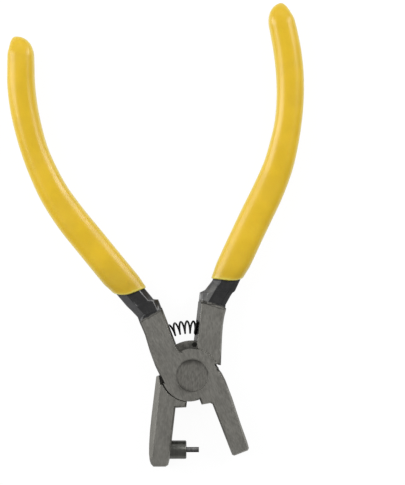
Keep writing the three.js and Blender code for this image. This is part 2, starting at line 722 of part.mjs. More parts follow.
// Points of the wire's middle, from the front seat's end to the rear one's.
function springWirePath() {
  const line = springLine();
  const length = line.getLength();
  const seatShare = springInset / length;
  const curls = 2 * seatCurls + openCurls;
  const slope = Math.tan(degToRad(springTilt));
  const wind = (turn) => {
    if (turn < seatCurls) return (turn / seatCurls) * seatShare;
    if (turn > curls - seatCurls) return 1 - ((curls - turn) / seatCurls) * seatShare;
    return seatShare + ((turn - seatCurls) / openCurls) * (1 - 2 * seatShare);
  };
  const points = [];
  for (let i = 0; i <= curls * springSteps; i += 1) {
    const turn = i / springSteps;
    const share = wind(turn);
    const centre = line.getPointAt(share);
    centre.z = springLevel(0) + (share * length - springInset / 2) * slope;
    const along = line.getTangentAt(share);
    along.z = slope;
    along.normalize();
    const upward = new THREE.Vector3(0, 0, 1).addScaledVector(along, -along.z).normalize();
    const sideways = new THREE.Vector3().crossVectors(upward, along);
    const angle = 2 * Math.PI * turn;
    centre.addScaledVector(sideways, springRadius * Math.cos(angle));
    centre.addScaledVector(upward, -springRadius * Math.sin(angle));
    points.push(centre);
  }
  return points;
}

// The least distance between two stretches of wire that lie half a curl or more apart.
function leastSpringGap(points) {
  let least = Infinity;
  points.forEach((point, i) => {
    for (const other of points.slice(i + springSteps / 2 + 1)) {
      least = Math.min(least, point.distanceTo(other));
    }
  });
  return least - springWire;
}

function returnSpring() {
  const path = springWirePath();
  console.log(`return_spring: least gap between curls ${leastSpringGap(path).toFixed(2)} mm`);
  const carried = new THREE.Vector3(0, 0, 1);
  const rings = path.map((point, i) => {
    const before = path[Math.max(i - 1, 0)];
    const after = path[Math.min(i + 1, path.length - 1)];
    const along = after.clone().sub(before).normalize();
    carried.addScaledVector(along, -carried.dot(along)).normalize();
    const other = new THREE.Vector3().crossVectors(along, carried);
    return Array.from({ length: springSides }, (_, k) => {
      const angle = (2 * Math.PI * k) / springSides;
      return point.clone()
        .addScaledVector(carried, (springWire / 2) * Math.cos(angle))
        .addScaledVector(other, (springWire / 2) * Math.sin(angle));
    });
  });
  return meshOf('return_spring', skin(rings), springSteel);
}

// Assembly

const frontHalf = new THREE.Group();
frontHalf.add(frontLever(), grip('left_grip', -1));
frontHalf.rotation.z = halfOpen;

const rearHalf = new THREE.Group();
rearHalf.add(rearLever(), grip('right_grip', 1), punchHolder(), punchPin(), backScrew());
rearHalf.rotation.z = -halfOpen;

const pliers = new THREE.Group();
pliers.add(frontHalf, rearHalf, pivotRivet(), returnSpring());

export default pliers;
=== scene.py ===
# Hole punch pliers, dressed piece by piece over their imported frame, in the order in which they are
# put together. Metres, +Z up: they lie on their rear face, with the pivot on the Z axis and the
# handles towards +Y.

from math import atan2, cos, degrees, pi, radians, sin, tan

import bmesh
import bpy
from mathutils import Matrix, Vector
from mathutils.bvhtree import BVHTree


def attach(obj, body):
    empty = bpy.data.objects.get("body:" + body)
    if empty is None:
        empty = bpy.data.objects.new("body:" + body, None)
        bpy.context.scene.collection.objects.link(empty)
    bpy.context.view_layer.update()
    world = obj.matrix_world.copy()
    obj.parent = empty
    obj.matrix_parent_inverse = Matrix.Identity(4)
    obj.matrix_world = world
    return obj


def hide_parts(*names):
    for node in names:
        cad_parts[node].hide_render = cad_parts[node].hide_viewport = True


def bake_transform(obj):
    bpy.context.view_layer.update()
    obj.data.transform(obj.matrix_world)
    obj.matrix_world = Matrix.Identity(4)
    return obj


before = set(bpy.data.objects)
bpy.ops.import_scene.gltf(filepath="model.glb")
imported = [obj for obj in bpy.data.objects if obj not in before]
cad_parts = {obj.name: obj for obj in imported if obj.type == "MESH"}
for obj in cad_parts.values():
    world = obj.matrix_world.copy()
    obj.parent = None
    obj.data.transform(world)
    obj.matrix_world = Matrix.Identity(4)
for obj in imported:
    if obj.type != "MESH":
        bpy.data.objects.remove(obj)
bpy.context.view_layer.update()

# Rear lever: one drop forging with the right tang, the rear half of the lap and the punch jaw. Its
# flats, edges and jaw are ground bright along its length, and its neck keeps the black forging skin.

HALF_OPEN = radians(13.9)  # how far each lever stands from closed
HEAD_THICKNESS = 0.0096
NECK_START = 0.0213  # from here to the grip, the forged edges stay round
GROUND_EDGE, FORGED_EDGE = 0.00007, 0.0003  # how far the two kinds of edge are eased
FLAT_ANGLE, CORNER_ANGLE = 0.5, 24  # in degrees: flatter edges go, and sharper ones are eased
EASED_OFF = 0.00008  # the furthest that easing takes a corner from the surface
MERGED = 0.000002  # corners closer than this become one
LAP_BAND = 0.0004  # half the thickness of the painted shade between the laps
HUB_REACH = 0.0092  # from the pivot to where that painted shade ends
SEAT_RADIUS, SEAT_DEPTH = 0.0024, 0.0032  # of the spring's blind holes, whose insides take painted shade
MOUTH_SHADE_HALF = 0.0017  # half the height of the painted shade at a hole's mouth
SHADE_SPOT_REACH = 0.00095  # how far the painted shade at a notch corner spreads
SOFT_EDGE = 0.0002  # over which the painted shade at a hole's mouth or below the neck fades
NECK_BLUR = 0.0003  # half the height over which the ground steel turns black
STRIP_HIGHLIGHT_SLOPE, STRIP_HIGHLIGHT_FOOT = 0.45, -0.00799  # the line along a neck's flat where its painted highlight strip ends
SLANT_SHADE_SHARES = 0.55, 0.68  # how much painted shade the slanted edges take, on the jaws and on the shanks
PAINTED_SHADE = 0.035, 0.034, 0.031, 1  # the colour of painted shade on the steel
# the colour of deep painted shade: in holes, at notch corners and on turned sides
PAINTED_DEEP_SHADE = 0.012, 0.012, 0.011, 1
PRESSED_OIL = 0.05, 0.048, 0.043, 1
OIL_RIPPLE = 0.0005  # how uneven the edge of the pressed oil is


class Layout:
    """Lays out the nodes of one material or one shape."""

    def __init__(self, tree):
        self.tree = tree

    def feed(self, socket, value):
        if isinstance(value, bpy.types.NodeSocket):
            self.tree.links.new(value, socket)
        else:
            socket.default_value = value

    def node(self, kind, inputs=None, **settings):
        made = self.tree.nodes.new(kind)
        for key, value in settings.items():
            setattr(made, key, value)
        for key, value in (inputs or {}).items():
            self.feed(made.inputs[key], value)
        return made

    def math(self, operation, *values):
        return self.node("ShaderNodeMath", dict(enumerate(values)), operation=operation).outputs[0]

    def plus(self, one, other):
        return self.math("ADD", one, other)

    def minus(self, one, other):
        return self.math("SUBTRACT", one, other)

    def times(self, one, other):
        return self.math("MULTIPLY", one, other)

    def ratio(self, one, other):
        return self.math("DIVIDE", one, other)

    def larger(self, one, other):
        return self.math("MAXIMUM", one, other)

    def absolute(self, value):
        return self.math("ABSOLUTE", value)

    def vector(self, operation, *values, output=0):
        made = self.node("ShaderNodeVectorMath", dict(enumerate(values)), operation=operation)
        return made.outputs[output]

    def split(self, vector):
        return self.node("ShaderNodeSeparateXYZ", {0: vector}).outputs

    def point(self, x=0.0, y=0.0, z=0.0):
        return self.node("ShaderNodeCombineXYZ", {"X": x, "Y": y, "Z": z}).outputs[0]

    def off_axis(self, one, other):
        """How far a point lies from an axis, from how far it lies along two crossing directions."""
        return self.vector("LENGTH", self.point(one, other), output="Value")

    def step(self, value, low, high, at_low=0.0, at_high=1.0, shape="SMOOTHSTEP"):
        """Runs from at_low to at_high while value runs from low to high."""
        return self.node("ShaderNodeMapRange", {"Value": value, "From Min": low, "From Max": high,
                                                "To Min": at_low, "To Max": at_high},
                         interpolation_type=shape).outputs["Result"]

    def tint(self, share, first, second):
        return self.node("ShaderNodeMix", {0: share, 6: first, 7: second}, data_type="RGBA").outputs[2]

    def surface(self):
        """Where a point lies, and which way its face is turned."""
        given = self.node("ShaderNodeTexCoord").outputs
        return given["Object"], given["Normal"]

    def turned(self, place, angle):
        return self.node("ShaderNodeMapping", {"Vector": place, "Rotation": (0, 0, angle)}).outputs[0]

    def noise(self, place, stretch, detail=2.0, turn=0.0):
        """Noise whose grains measure 1 / stretch along each axis."""
        spread = self.node("ShaderNodeMapping", {"Vector": place, "Scale": stretch,
                                                 "Rotation": (0, 0, turn)})
        made = self.node("ShaderNodeTexNoise", {"Vector": spread.outputs[0], "Scale": 1.0,
                                                "Detail": detail, "Roughness": 0.55})
        return made.outputs[0]

    def dress(self, shader, inputs, bump=None):
        """Feeds a shader, and bumps it by a height, with a strength and over a distance."""
        for key, value in inputs.items():
            self.feed(shader.inputs[key], value)
        if bump:
            raised = self.node("ShaderNodeBump", dict(zip(("Height", "Strength", "Distance"), bump)))
            self.feed(shader.inputs["Normal"], raised.outputs[0])


def new_material(name):
    """An empty material, its layout and its shader."""
    material = bpy.data.materials.new(name)
    material.use_nodes = True
    layout = Layout(material.node_tree)
    return material, layout, material.node_tree.nodes["Principled BSDF"]


def pressed_oil(layout, place):
    """Oil pressed out round the rivet: a faint ring, a smear in over its rim by the handles, one out
    over the hub towards the punch jaw, and a thin film below."""
    x, y, _ = layout.split(place)
    reach = layout.off_axis(x, y)
    uneven = layout.times(layout.noise(place, (600, 600, 600), 2), OIL_RIPPLE)
    off_pivot = layout.plus(reach, layout.minus(uneven, OIL_RIPPLE / 2))

    def band(middle, inwards, outwards):
        return layout.times(layout.step(off_pivot, middle - inwards, middle, shape="LINEAR"),
                            layout.step(off_pivot, middle, middle + outwards, 1, 0, "LINEAR"))

    rightwards = layout.ratio(layout.minus(x, y), reach)
    oil_and_shade = layout.times(band(0.00455, 0.0004, 0.0005), layout.step(rightwards, 0.9, 1.3, 0.4, 0.1))
    # each smear is strongest over the angle `full` to each side of `towards`, and gone at `end`
    for towards, full, end, middle, inwards, outwards, share in (
            (84, 28, 52, 0.0046, 0.0014, 0.0008, 0.8),
            (233, 14, 42, 0.00462, 0.0009, 0.0012, 0.62),
            (250, 25, 65, 0.0056, 0.0008, 0.0022, 0.16)):
        direction = cos(radians(towards)), sin(radians(towards)), 0
        lined_up = layout.ratio(layout.vector("DOT_PRODUCT", place, direction, output="Value"), reach)
        arc = layout.step(lined_up, cos(radians(end)), cos(radians(full)), 0, share)
        oil_and_shade = layout.larger(oil_and_shade, layout.times(arc, band(middle, inwards, outwards)))
    return oil_and_shade


def ground_forging(name, turn, neck_line, neck_fall, step_shade_gap, crease_highlight, strip_highlight, seat, mouth_shade_width, shade_spot):
    """Steel ground along a lever that is turned by `turn` from closed, and black above `neck_line`,
    which drops by `neck_fall` towards the outer edge, with a thin line of painted shade
    `step_shade_gap` below it. The neck's inner crease has a painted highlight of `crease_highlight`,
    and a strip of the flat beside it one of `strip_highlight`. The spring's blind hole starts at
    `seat`, with painted shade inside and a band of painted shade `mouth_shade_width` wide at its
    mouth. A spot of painted shade sits round `shade_spot`."""
    material, layout, shader = new_material(name)
    place, facing = layout.surface()
    closed = layout.turned(place, -turn)
    across, along, level = layout.split(closed)
    sideways, endways, upwards = layout.split(facing)

    # the ground faces: a short grain along the lever, cloudy stains and a few crossing scratches
    fine = layout.noise(closed, (3800, 700, 2600), 3)
    streaks = layout.noise(closed, (1000, 260, 900), 3)
    stains = layout.noise(closed, (330, 240, 330), 4)
    scratches = layout.noise(closed, (3400, 130, 2600), 1, turn=0.22)
    light = layout.plus(layout.times(streaks, 0.5), layout.times(fine, 0.5))
    steel = layout.tint(layout.step(light, 0.34, 0.66), (0.198, 0.193, 0.175, 1), (0.27, 0.263, 0.239, 1))
    steel = layout.tint(layout.step(stains, 0.5, 0.72, 0, 0.35), steel, (0.155, 0.149, 0.131, 1))
    steel = layout.tint(layout.step(scratches, 0.68, 0.76, 0, 0.3), steel, (0.34, 0.33, 0.305, 1))

    # painted shade on the slanted edges, by how their faces are turned, but less on even bevels:
    # least of all where they face right, and beside the pivot as much as on the others
    flat_facing = layout.node("ShaderNodeNewGeometry").outputs["True Normal"]
    upright = layout.absolute(layout.split(flat_facing)[2])
    darker = layout.step(along, 0, 0.012, *SLANT_SHADE_SHARES)
    slant_shade = layout.times(layout.step(upright, 0.1, 0.2, 0, darker),
                         layout.step(upright, 0.88, 0.96, 1, 0))
    narrow = layout.times(layout.step(upright, 0.4, 0.46), layout.step(upright, 0.6, 0.66, 1, 0))
    leftwards = layout.step(along, 0.010, 0.014, 0.45, 0.1)
    spared = layout.times(narrow, layout.step(sideways, -0.3, 0.3, leftwards, 1))
    spared = layout.times(spared, layout.step(layout.absolute(along), 0.006, 0.0085))
    steel = layout.tint(layout.times(slant_shade, layout.minus(1, spared)), steel, PAINTED_SHADE)

    # painted shade where pieces meet, from ambient occlusion, and painted shade on the faces between
    # the laps round the hub
    crevice = layout.node("ShaderNodeAmbientOcclusion", {"Distance": 0.0007}, samples=6).outputs["AO"]
    crevice_shade = layout.step(layout.plus(crevice, layout.times(stains, 0.25)), 0.55, 0.95, 0.55, 0)
    # painted shade on the faces near mid thickness round the hub, between the laps
    off_lap = layout.absolute(layout.minus(level, HEAD_THICKNESS / 2))
    oil_and_shade = layout.step(layout.plus(off_lap, layout.times(stains, 0.0003)),
                      LAP_BAND, LAP_BAND + 0.0004, 1, 0)
    patchy = layout.step(layout.noise(closed, (900, 900, 900), 3), 0.35, 0.65, 0.15, 0.5)
    on_hub = layout.step(layout.off_axis(across, along), HUB_REACH, HUB_REACH + 0.001, 1, 0)
    oil_and_shade = layout.times(layout.times(oil_and_shade, patchy), on_hub)
    steel = layout.tint(layout.larger(crevice_shade, oil_and_shade), steel, PAINTED_SHADE)

    # painted shade inside the spring's blind hole and round its mouth, a spot of painted shade at one
    # notch corner, and the oil round the rivet
    up, over = layout.minus(along, seat.y), layout.minus(level, seat.z)
    deep = layout.absolute(layout.minus(across, seat.x))
    in_hole = layout.times(layout.math("LESS_THAN", layout.off_axis(up, over), SEAT_RADIUS),
                           layout.math("LESS_THAN", deep, SEAT_DEPTH))
    mouth_shade = layout.times(layout.step(layout.absolute(up), MOUTH_SHADE_HALF, MOUTH_SHADE_HALF + SOFT_EDGE, 1, 0),
                           layout.step(deep, mouth_shade_width, mouth_shade_width + SOFT_EDGE, 1, 0))
    steel = layout.tint(layout.larger(in_hole, mouth_shade), steel, PAINTED_DEEP_SHADE)
    # a spot of painted shade at a notch corner
    off_shade_spot = layout.plus(layout.vector("DISTANCE", closed, shade_spot, output="Value"),
                           layout.times(stains, 0.0006))
    steel = layout.tint(layout.step(off_shade_spot, SHADE_SPOT_REACH, SHADE_SPOT_REACH + 0.0003, 0.85, 0), steel, PAINTED_DEEP_SHADE)
    steel = layout.tint(pressed_oil(layout, place), steel, PRESSED_OIL)

    # below the neck's ragged edge: a thin line of painted shade, and painted shade on the faces of
    # the shoulder that are turned towards the handles
    ragged = layout.times(layout.minus(layout.noise(closed, (900, 500, 900), 3), 0.5), 0.0011)
    height = layout.plus(along, layout.times(layout.absolute(across), neck_fall))
    height = layout.plus(height, ragged)
    step_shade_line = neck_line - NECK_BLUR - step_shade_gap
    step_shade = layout.times(layout.step(height, step_shade_line - 0.0003, step_shade_line - 0.0001),
                        layout.step(height, step_shade_line, step_shade_line + SOFT_EDGE, 0.6, 0))
    steel = layout.tint(step_shade, steel, PAINTED_SHADE)
    # painted shade on faces turned towards the handles, just below the neck
    ledge_shade = layout.times(layout.step(height, neck_line - 0.0016, neck_line - 0.001),
                         layout.step(endways, 0.12, 0.4, 0, 0.75))
    steel = layout.tint(ledge_shade, steel, PAINTED_SHADE)

    # the neck: black skin, with painted highlights on its corner facets, most where they face left,
    # on a strip of its flat and along its inner crease
    neck = layout.step(height, neck_line - NECK_BLUR, neck_line + NECK_BLUR)
    scale = layout.noise(closed, (700, 700, 700), 4)
    black = layout.tint(scale, (0.005, 0.005, 0.0055, 1), (0.015, 0.015, 0.016, 1))
    corner = layout.step(layout.absolute(upwards), 0.82, 0.86, 1, 0)
    # painted highlight on the corner facets, most where they face left
    lit_corner = layout.times(corner, layout.step(sideways, -0.3, 0.1, 0.9, 0.25))
    black = layout.tint(lit_corner, black, (0.06, 0.06, 0.062, 1))
    # painted highlight on a strip of the neck's flat
    off_highlight_strip = layout.minus(layout.plus(layout.times(along, STRIP_HIGHLIGHT_SLOPE), STRIP_HIGHLIGHT_FOOT), across)
    wear_and_highlight = layout.times(layout.step(off_highlight_strip, -0.0003, 0.0001, 0, strip_highlight),
                          layout.step(off_highlight_strip, 0.0012, 0.002, 1, 0.1))
    wear_and_highlight = layout.times(wear_and_highlight, layout.step(along, 0.0268, 0.0285, 1, 0))
    black = layout.tint(wear_and_highlight, black, (0.11, 0.11, 0.108, 1))
    # painted highlight along the neck's inner crease, by which way its faces turn
    crease = layout.times(layout.step(sideways, 0.1, 0.2), layout.step(sideways, 0.36, 0.46, 1, 0))
    black = layout.tint(layout.times(crease, crease_highlight), black, (0.3, 0.3, 0.3, 1))

    def by_place(on_steel, on_neck):
        return layout.node("ShaderNodeMix", {0: neck, 2: on_steel, 3: on_neck},
                           data_type="FLOAT").outputs[0]

    # the gloss fades in crevices by ambient occlusion, as painted shade, and is weaker on faces turned
    # right
    gloss = layout.step(sideways, 0.3, 0.6, 0.65, 0.2)
    layout.dress(shader, {
        "Base Color": layout.tint(neck, steel, black),
        "Metallic": layout.minus(1, layout.times(neck, 0.95)),
        "Specular IOR Level": layout.step(crevice, 0.62, 0.99, 0.0, gloss),
        "Roughness": by_place(layout.step(fine, 0.3, 0.7, 0.38, 0.5),
                              layout.step(scale, 0.3, 0.7, 0.2, 0.32)),
    }, (by_place(fine, scale), 0.2, 0.00005))
    return material


def in_scene(name, data):
    """An object made of that data, in the scene."""
    made = bpy.data.objects.new(name, data)
    bpy.context.scene.collection.objects.link(made)
    return made


def kept_mesh(name, work):
    """Keeps a mesh that was worked on, with smooth faces."""
    mesh = bpy.data.meshes.new(name)
    work.to_mesh(mesh)
    work.free()
    mesh.shade_smooth()
    return mesh


def plain_mesh(host):
    """The mesh that an object's modifiers make, as a piece of its own. The host goes."""
    bpy.context.view_layer.update()
    mesh = bpy.data.meshes.new_from_object(host.evaluated_get(bpy.context.evaluated_depsgraph_get()))
    name = host.name
    bpy.data.objects.remove(host)
    mesh.name = name
    return in_scene(name, mesh)


def eased_copy(node, name, turn=0.0):
    """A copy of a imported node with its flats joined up, its ground edges eased and its forged ones
    rounded. The node is turned by `turn` from closed."""
    work = bmesh.new()
    work.from_mesh(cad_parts[node].data)
    bmesh.ops.remove_doubles(work, verts=work.verts, dist=MERGED)
    bmesh.ops.dissolve_limit(work, angle_limit=radians(FLAT_ANGLE), verts=work.verts, edges=work.edges)
    ease = work.edges.layers.float.new("bevel_weight_edge")
    closed = Matrix.Rotation(-turn, 3, "Z")
    for edge in work.edges:
        if degrees(edge.calc_face_angle(0)) > CORNER_ANGLE:
            one, other = (closed @ corner.co for corner in edge.verts)
            forged = min(one.y, other.y) > NECK_START
            lengthways = abs(one.y - other.y) > (one - other).length / 2
            edge[ease] = (1.0 if lengthways else 0.0) if forged else GROUND_EDGE / FORGED_EDGE
    skin = BVHTree.FromBMesh(work)
    host = in_scene(name, kept_mesh(name, work))
    bevel = host.modifiers.new("eased", "BEVEL")
    bevel.width = FORGED_EDGE
    bevel.segments = 2
    bevel.limit_method = "WEIGHT"
    bevel.use_clamp_overlap = False
    flats = host.modifiers.new("flats", "WEIGHTED_NORMAL")
    flats.mode = "FACE_AREA"
    flats.weight = 100
    piece = plain_mesh(host)

    # where two edges meet at a very sharp angle the easing runs too far, and goes back to the surface
    for corner in piece.data.vertices:
        place, _, _, gap = skin.find_nearest(corner.co)
        if gap > EASED_OFF:
            corner.co = place
    return piece


def fit(piece, material, node, body):
    """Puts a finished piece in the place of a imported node."""
    piece.data.materials.clear()
    piece.data.materials.append(material)
    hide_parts(node)
    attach(piece, body)


REAR_SEAT = Vector((-0.0007, 0.0144, 0.0062))  # the mouth of its blind hole, with the pliers closed
REAR_SHADE_SPOT = -0.00035, 0.00925, 0.0048  # where the hub meets the foot of the shank
fit(eased_copy("rear_lever", "rear_lever_forging", -HALF_OPEN),
    ground_forging("rear_lever_steel", -HALF_OPEN, neck_line=0.0229, neck_fall=0.2, step_shade_gap=0.0004,
                   crease_highlight=0.0, strip_highlight=1.0, seat=REAR_SEAT, mouth_shade_width=0.0011, shade_spot=REAR_SHADE_SPOT),
    "rear_lever", "rear_half")

# Front lever: the second forging, with the left tang, the front half of the lap and the die jaw,
# which is drilled for the punch. It is ground and left black in the same places as the rear one.

FRONT_SEAT = Vector((-0.0011, 0.0148, 0.0051))
FRONT_SHADE_SPOT = 0.0083, -0.001, 0.0096  # where the rim of the hub ends
fit(eased_copy("front_lever", "front_lever_forging", HALF_OPEN),
    ground_forging("front_lever_steel", HALF_OPEN, neck_line=0.0219, neck_fall=0.133, step_shade_gap=0.0,
                   crease_highlight=0.6, strip_highlight=0.0, seat=FRONT_SEAT, mouth_shade_width=0.0001, shade_spot=FRONT_SHADE_SPOT),
    "front_lever", "front_half")

# Pivot rivet: a steel pin closed cold into both laps, with a flush round head on each face that was
# ground together with them. Oil that was pressed out round it shows where it ends.

RIVET_HEAD = 0.0047
RIVET_DEPTH = 0.0022
RIVET_STEM = 0.003
RIVET_CHAMFER = 0.00004
RIVET_SPREAD = 0.00006  # how far the closing spread each head in its hole


def built_piece(name, work, place, crease):
    """Closes a hand-built mesh: its faces outwards, moved to its place, and sharp where its faces
    meet at more than `crease` degrees."""
    bmesh.ops.recalc_face_normals(work, faces=work.faces)
    mesh = kept_mesh(name, work)
    mesh.transform(place)
    mesh.set_sharp_from_angle(angle=radians(crease))
    return in_scene(name, mesh)


def turned_piece(name, profile, sides, place):
    """A piece turned about its own Y axis from (radius, height) pairs. They start and end on that
    axis, or end where they start."""
    work = bmesh.new()
    rings = []
    for radius, height in profile:
        count = sides if radius > 0 else 1
        turns = [2 * pi * k / sides for k in range(count)]
        rings.append([work.verts.new((radius * cos(t), height, radius * sin(t))) for t in turns])
    for low, high in zip(rings, rings[1:]):
        for k in range(sides):
            corners = [low[k % len(low)], low[(k + 1) % len(low)],
                       high[(k + 1) % len(high)], high[k % len(high)]]
            corners = [v for i, v in enumerate(corners) if v not in corners[:i]]
            if len(corners) > 2:
                work.faces.new(corners)
    return built_piece(name, work, place, crease=25)


def rivet_steel():
    """Ground with the head, and a shade darker, with oil left near its rim."""
    material, layout, shader = new_material("rivet_steel")
    place, _ = layout.surface()
    closed = layout.turned(place, HALF_OPEN)
    fine = layout.noise(closed, (3800, 600, 2600), 3)
    stains = layout.noise(closed, (420, 300, 420), 4)
    steel = layout.tint(layout.step(fine, 0.34, 0.66), (0.175, 0.17, 0.153, 1), (0.23, 0.223, 0.202, 1))
    steel = layout.tint(layout.step(stains, 0.5, 0.72, 0, 0.4), steel, (0.145, 0.139, 0.122, 1))
    layout.dress(shader, {
        "Base Color": layout.tint(pressed_oil(layout, place), steel, PRESSED_OIL),
        "Metallic": 1.0,
        "Roughness": layout.step(fine, 0.3, 0.7, 0.36, 0.5),
    }, (fine, 0.25, 0.00005))
    return material


rivet = turned_piece("pivot_rivet_closed", [
    (0, 0),
    (RIVET_HEAD + RIVET_SPREAD - RIVET_CHAMFER, 0),
    (RIVET_HEAD + RIVET_SPREAD, RIVET_CHAMFER),
    (RIVET_HEAD, RIVET_DEPTH),
    (RIVET_STEM, RIVET_DEPTH),
    (RIVET_STEM, HEAD_THICKNESS - RIVET_DEPTH),
    (RIVET_HEAD, HEAD_THICKNESS - RIVET_DEPTH),
    (RIVET_HEAD + RIVET_SPREAD, HEAD_THICKNESS - RIVET_CHAMFER),
    (RIVET_HEAD + RIVET_SPREAD - RIVET_CHAMFER, HEAD_THICKNESS),
    (0, HEAD_THICKNESS),
], 96, Matrix.Rotation(pi / 2, 4, "X"))
fit(rivet, rivet_steel(), "pivot_rivet", "rear_half")

# Joint dust: the grey paste of oil and grinding dust that has packed the groove between the hub and
# the right shank, and part of the one above the punch jaw. It was wiped off with the faces, and stays
# with the rear lever.

LOWER_ARC_CENTRE = (-0.000927, 0.000472)  # of the hub's rim above the punch jaw, struck off centre
PASTE_DEPTH = 0.0007  # below the ground faces
PASTE_RIPPLE = 0.00004  # how uneven its top is


def packed_paste(name, centre, inside, outside, first, last, sunk, steps):
    """A strip bent about `centre` between two radii, from one angle in degrees to another with the
    pliers closed, a little sunk and uneven along its top."""
    section = ((inside, PASTE_DEPTH), (inside, sunk + PASTE_RIPPLE), ((inside + outside) / 2, sunk),
               (outside, sunk + PASTE_RIPPLE / 2), (outside, PASTE_DEPTH))
    work = bmesh.new()
    rings = []
    for k in range(steps + 1):
        angle = radians(first + (last - first) * k / steps)
        sag = PASTE_RIPPLE * (0.5 + 0.3 * sin(7.3 * k) + 0.2 * sin(2.1 * k))
        rings.append([work.verts.new((centre[0] + radius * cos(angle), centre[1] + radius * sin(angle),
                                      HEAD_THICKNESS - below - sag)) for radius, below in section])
    for near, far in zip(rings, rings[1:]):
        for i in range(len(section)):
            work.faces.new((near[i - 1], near[i], far[i], far[i - 1]))
    work.faces.new(rings[0])
    work.faces.new(reversed(rings[-1]))
    return built_piece(name, work, Matrix.Rotation(-HALF_OPEN, 4, "Z"), crease=50)


def paste():
    """Dull grey, speckled with bright filings."""
    material, layout, shader = new_material("joint_paste")
    place, _ = layout.surface()
    clots = layout.noise(place, (1500, 1500, 1500), 3)
    filings = layout.noise(place, (6000, 6000, 6000), 2)
    tone = layout.tint(layout.step(clots, 0.35, 0.65), (0.15, 0.145, 0.128, 1), (0.24, 0.233, 0.207, 1))
    tone = layout.tint(layout.step(filings, 0.6, 0.7, 0, 0.5), tone, (0.34, 0.33, 0.3, 1))
    layout.dress(shader, {
        "Base Color": tone,
        "Metallic": 0.7,
        "Roughness": layout.step(clots, 0.3, 0.7, 0.42, 0.6),
    }, (clots, 0.4, 0.00005))
    return material


joint_paste = paste()
for strip in (packed_paste("joint_dust", (0, 0), inside=0.00809, outside=0.00845,
                           first=30.5, last=84, sunk=PASTE_RIPPLE, steps=60),
              packed_paste("lower_joint_dust", LOWER_ARC_CENTRE, inside=0.00844, outside=0.00864,
                           first=236, last=270.5, sunk=0.0002, steps=40)):
    strip.data.materials.append(joint_paste)
    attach(strip, "rear_half")

# Punch holder: a turned and blackened collar whose tail screws into the punch jaw. The punch runs
# through it, so that a broken one can be changed.

DIE_FACE = 0.00255  # from the pivot to the die jaw's face
PUNCH_DISTANCE = 0.02215  # from the pivot down to the punch's line
PUNCH_FACE = 0.00385  # from the pivot to the punch jaw's face
PUNCH_TURN = atan2(DIE_FACE, PUNCH_DISTANCE)
PUNCH_PLACE = (Matrix.Rotation(-HALF_OPEN, 4, "Z")
               @ Matrix.Translation((DIE_FACE, -PUNCH_DISTANCE, HEAD_THICKNESS / 2))
               @ Matrix.Rotation(PUNCH_TURN - pi / 2, 4, "Z"))
SPOT_FACE = 0.0004  # how deep the collar sits in the punch jaw
HOLDER_SEAT = -(PUNCH_FACE + DIE_FACE) / cos(PUNCH_TURN) - SPOT_FACE
HOLDER_END = -0.00175
HOLDER_RADIUS = 0.00278
HOLDER_CHAMFER = 0.00035
HOLDER_TAIL, TAIL_LENGTH = 0.002, 0.0025
TAIL_END = HOLDER_SEAT - TAIL_LENGTH
PIN_RADIUS = 0.0008
PIN_CLEARANCE = 0.00015
PIN_BORE = PIN_RADIUS + PIN_CLEARANCE
BORE_CHAMFER = 0.0001
ROUNDING = 0.0001, 0.00012  # how far the middle of the rounded chamfer stands off the corner


def turned_steel(name, dark, light, rough, pitch, side_shade):
    """Steel with the fine rings that a lathe leaves round the punch's line, `pitch` apart. Painted shade
    lies along its sides and on faces turned towards the jaws' tips: `side_shade` gives its share, and
    how far a face is turned to the tips where it is darkest and where it ends."""
    material, layout, shader = new_material(name)
    place, facing = layout.surface()
    line = layout.turned(place, HALF_OPEN - PUNCH_TURN)
    rings = layout.noise(line, (1 / pitch, 40, 40), 1)
    wear = layout.noise(line, (900, 900, 900), 4)
    shade = layout.plus(layout.times(rings, 0.6), layout.times(wear, 0.4))
    steel = layout.tint(layout.step(shade, 0.36, 0.64), dark, light)
    _, endways, upright = layout.split(facing)
    share, most, least = side_shade
    sides = layout.step(layout.absolute(upright), 0.25, 0.7, share * 0.7, 0)
    painted_shade_share = layout.larger(sides, layout.step(endways, most, least, share, 0))
    layout.dress(shader, {
        "Base Color": layout.tint(painted_shade_share, steel, PAINTED_DEEP_SHADE),
        "Metallic": 1.0,
        "Roughness": layout.step(wear, 0.3, 0.7, rough - 0.05, rough + 0.07),
    }, (rings, 0.15, 0.00002))
    return material


holder = turned_piece("punch_holder_turned", [
    (PIN_BORE, TAIL_END),
    (HOLDER_TAIL, TAIL_END),
    (HOLDER_TAIL, HOLDER_SEAT),
    (HOLDER_RADIUS, HOLDER_SEAT),
    (HOLDER_RADIUS, HOLDER_END - HOLDER_CHAMFER),
    (HOLDER_RADIUS - ROUNDING[0], HOLDER_END - ROUNDING[1]),
    (HOLDER_RADIUS - HOLDER_CHAMFER, HOLDER_END),
    (PIN_BORE + BORE_CHAMFER, HOLDER_END),
    (PIN_BORE, HOLDER_END - BORE_CHAMFER),
    (PIN_BORE, TAIL_END),
], 72, PUNCH_PLACE)
fit(holder, turned_steel("blackened_steel", (0.095, 0.095, 0.087, 1), (0.12, 0.12, 0.11, 1),
                         rough=0.36, pitch=0.0003, side_shade=(0.62, -0.95, -0.7)),
    "punch_holder", "rear_half")

# Punch: a hard bright pin, headed at its back end. It stands out of its holder and meets the die
# hole when the handles are squeezed.

PIN_TIP = 0.002
PIN_HEAD, PIN_HEAD_LENGTH = 0.0016, 0.0011
PIN_HEAD_GAP = 0.00025
PIN_HEAD_END = TAIL_END - PIN_HEAD_GAP
PIN_EASE = 0.00004

